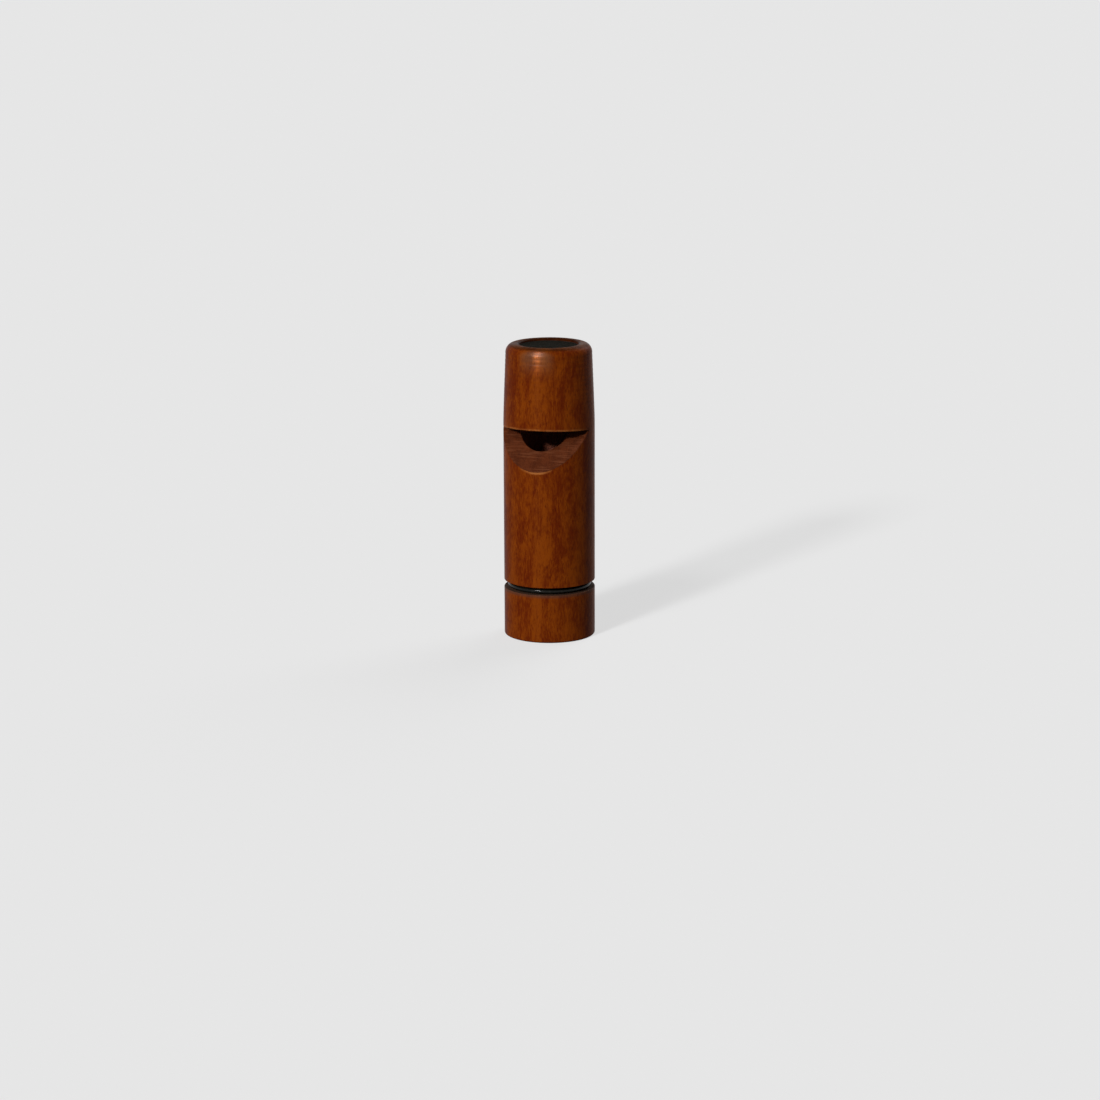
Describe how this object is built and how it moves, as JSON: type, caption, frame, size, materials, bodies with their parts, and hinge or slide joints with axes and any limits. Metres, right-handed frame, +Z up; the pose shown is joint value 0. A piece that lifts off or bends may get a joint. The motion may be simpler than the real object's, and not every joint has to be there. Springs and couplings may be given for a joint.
{
  "type": "wooden whistle game call",
  "caption": "Turned wooden whistle game call with a rounded mouth, a ramped sounding window, a fipple plug and a black ring in its lanyard groove.",
  "frame": {"origin": "centre of the flat foot on which the call stands", "axes": "+Z up the barrel towards the mouth, -Y the side with the sounding window, +X to the right seen from that side"},
  "size_m": [0.0222, 0.0222, 0.072],
  "materials": {
    "lacquered_wood": "semi-gloss lacquered mahogany-coloured hardwood, raw and matt on the cut ramp and in the bore",
    "plug_plastic": "black machined plastic with a soft sheen",
    "ring_rubber": "smooth black rubber with a sheen"
  },
  "bodies": {
    "root": {"barrel": "lacquered_wood", "fipple_plug": "plug_plastic", "groove_ring": "ring_rubber"}
  },
  "joints": []
}
